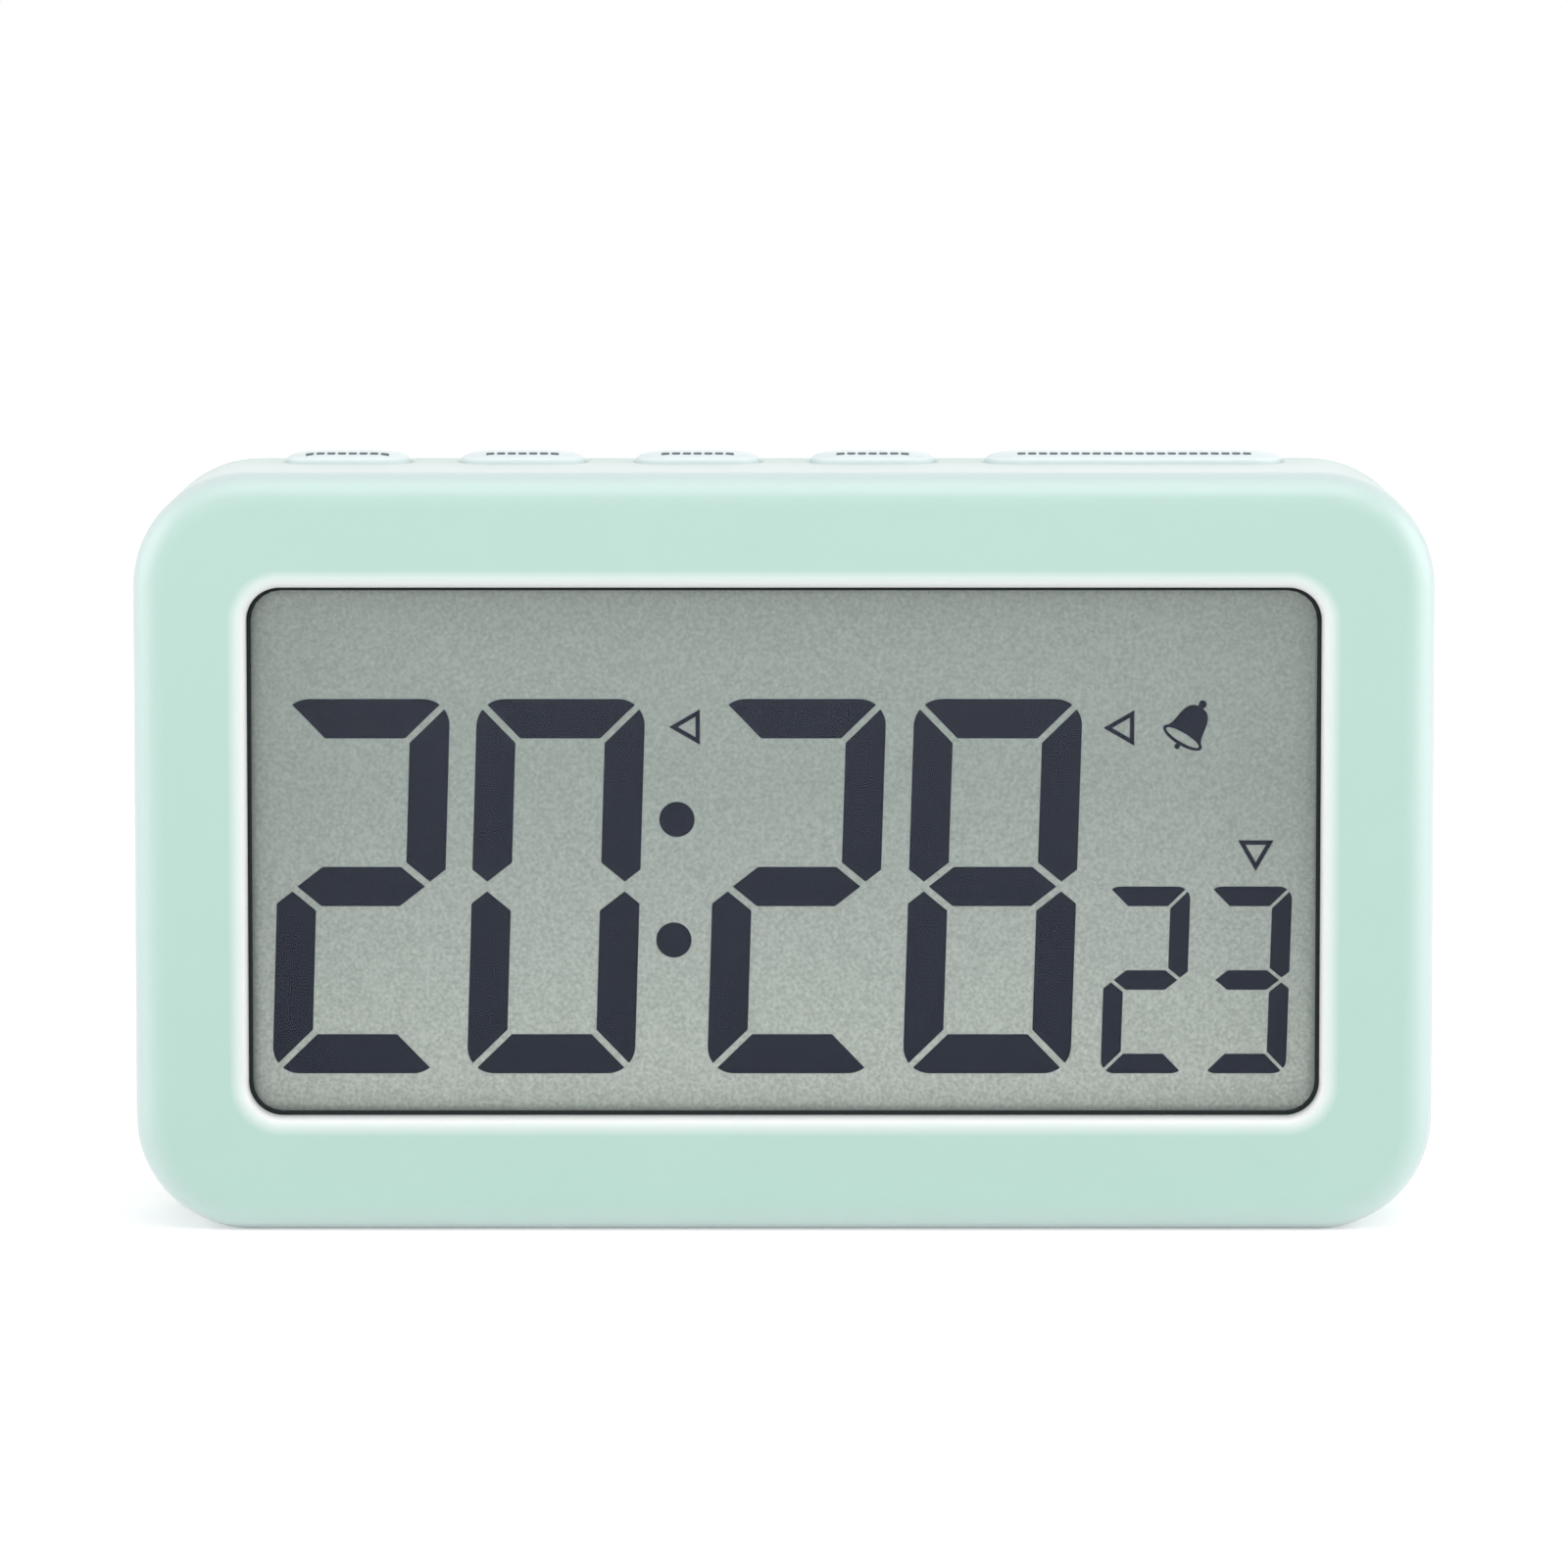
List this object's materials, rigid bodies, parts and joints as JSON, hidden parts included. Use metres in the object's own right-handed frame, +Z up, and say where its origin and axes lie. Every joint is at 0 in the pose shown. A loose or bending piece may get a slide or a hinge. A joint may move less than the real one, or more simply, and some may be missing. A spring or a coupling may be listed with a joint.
{
  "type": "digital table clock",
  "caption": "Rounded rectangular table clock with a large liquid-crystal display, push keys along the top, a battery door and a folding stand at the back.",
  "frame": {"origin": "middle of the base on the surface the clock stands on", "axes": "+X to the right seen from the front, -Y towards the viewer of the display, +Z up"},
  "size_m": [0.11, 0.024, 0.0654],
  "materials": {
    "mint_plastic": "satin moulded plastic",
    "pale_mint_plastic": "satin moulded plastic",
    "black_foam": "matt foam tape",
    "clear_window": "clear polished sheet",
    "display_glass": "grey-green display glass",
    "silver_film": "satin reflective film",
    "white_plastic": "plain moulded plastic",
    "dark_rubber": "striped rubber strip",
    "green_board": "lacquered circuit board",
    "black_plastic": "moulded or cast black resin",
    "steel": "nickel-plated steel",
    "cell_jacket": "printed film over a metal can",
    "brass": "rolled sheet",
    "white_ceramic": "silvered disc",
    "red_lead": "insulated wire",
    "black_lead": "insulated wire"
  },
  "bodies": {
    "case": {"front_shell": "mint_plastic", "rear_cover": "mint_plastic", "window_tape": "black_foam", "display_window": "clear_window", "display_front_glass": "display_glass", "display_rear_glass": "display_glass", "display_reflector": "silver_film", "display_holder": "white_plastic", "contact_strip": "dark_rubber", "main_board": "green_board", "chip_blob": "black_plastic", "quartz_crystal": "steel", "capacitor": "black_plastic", "key_board": "green_board", "board_header": "black_plastic", "switch_body_hour": "black_plastic", "switch_body_minute": "black_plastic", "switch_body_second": "black_plastic", "switch_body_mode": "black_plastic", "switch_body_start_stop": "black_plastic", "battery_upper": "cell_jacket", "battery_lower": "cell_jacket", "contact_positive": "steel", "contact_negative": "steel", "contact_bridge": "steel", "battery_lead_red": "red_lead", "battery_lead_black": "black_lead", "buzzer_plate": "brass", "buzzer_ceramic": "white_ceramic", "buzzer_lead_red": "red_lead", "buzzer_lead_black": "black_lead", "case_screw_1": "steel", "case_screw_2": "steel", "case_screw_3": "steel", "case_screw_4": "steel", "board_screw_1": "steel", "board_screw_2": "steel", "board_screw_3": "steel", "board_screw_4": "steel", "key_board_screw_1": "steel", "key_board_screw_2": "steel"},
    "button_hour": {"key_hour": "pale_mint_plastic", "switch_plunger_hour": "white_plastic"},
    "button_minute": {"key_minute": "pale_mint_plastic", "switch_plunger_minute": "white_plastic"},
    "button_second": {"key_second": "pale_mint_plastic", "switch_plunger_second": "white_plastic"},
    "button_mode": {"key_mode": "pale_mint_plastic", "switch_plunger_mode": "white_plastic"},
    "button_start_stop": {"key_start_stop": "pale_mint_plastic", "switch_plunger_start_stop": "white_plastic"},
    "door": {"battery_door": "mint_plastic"},
    "stand": {"folding_stand": "mint_plastic"}
  },
  "joints": [
    {"name": "hour_press", "type": "slide", "parent": "case", "child": "button_hour", "axis": [0, 0, -1], "range_m": [0, 0.0005], "stiffness_N_per_m": 800},
    {"name": "minute_press", "type": "slide", "parent": "case", "child": "button_minute", "axis": [0, 0, -1], "range_m": [0, 0.0005], "stiffness_N_per_m": 800},
    {"name": "second_press", "type": "slide", "parent": "case", "child": "button_second", "axis": [0, 0, -1], "range_m": [0, 0.0005], "stiffness_N_per_m": 800},
    {"name": "mode_press", "type": "slide", "parent": "case", "child": "button_mode", "axis": [0, 0, -1], "range_m": [0, 0.0005], "stiffness_N_per_m": 800},
    {"name": "start_stop_press", "type": "slide", "parent": "case", "child": "button_start_stop", "axis": [0, 0, -1], "range_m": [0, 0.0005], "stiffness_N_per_m": 800},
    {"name": "stand_fold", "type": "hinge", "parent": "case", "child": "stand", "pos_m": [0, 0.01075, 0.02445], "axis": [1, 0, 0], "range_deg": [0, 45]},
    {"name": "door_open", "type": "hinge", "parent": "case", "child": "door", "pos_m": [0, 0.012, 0.0282], "axis": [-1, 0, 0], "range_deg": [0, 60]}
  ]
}
